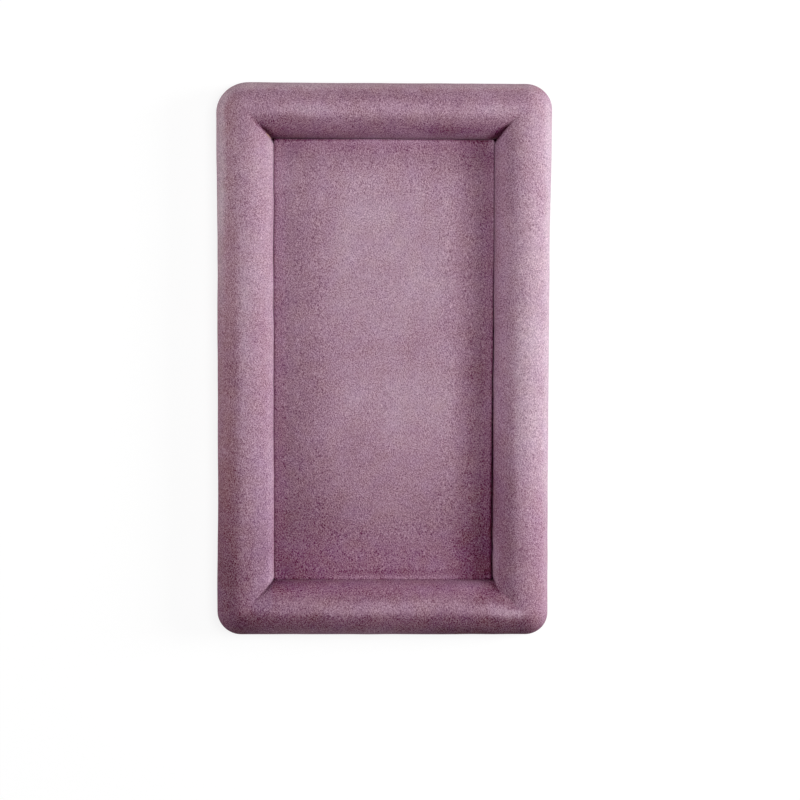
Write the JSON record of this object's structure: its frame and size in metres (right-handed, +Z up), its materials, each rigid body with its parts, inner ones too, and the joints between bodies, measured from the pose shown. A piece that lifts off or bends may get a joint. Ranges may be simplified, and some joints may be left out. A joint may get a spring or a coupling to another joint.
{
  "type": "jewelry tray",
  "caption": "Shallow rectangular velvet-covered jewelry tray: a mitred half-round rim round a flat, inset floor panel, for laying out rings, earrings and necklaces.",
  "frame": {"origin": "on the surface that the tray stands on, under the middle of the tray", "axes": "+X across the tray to the right, +Y along its length to the end at the top of the picture, +Z up out of the well"},
  "size_m": [0.12, 0.2, 0.015],
  "materials": {
    "frame_board": "raw medium-density fibreboard",
    "base_hardboard": "smooth brown hardboard",
    "greyboard": "uncoated greyboard",
    "steel": "bright steel",
    "velvet": "mauve cut-pile velvet",
    "felt": "thin black felt"
  },
  "bodies": {
    "root": {"rail_front": "frame_board", "rail_right": "frame_board", "rail_back": "frame_board", "rail_left": "frame_board", "corner_v_nails": "steel", "base_board": "base_hardboard", "base_brads": "steel", "rim_velvet": "velvet", "floor_card": "greyboard", "floor_velvet": "velvet", "base_lining": "felt"}
  },
  "joints": []
}
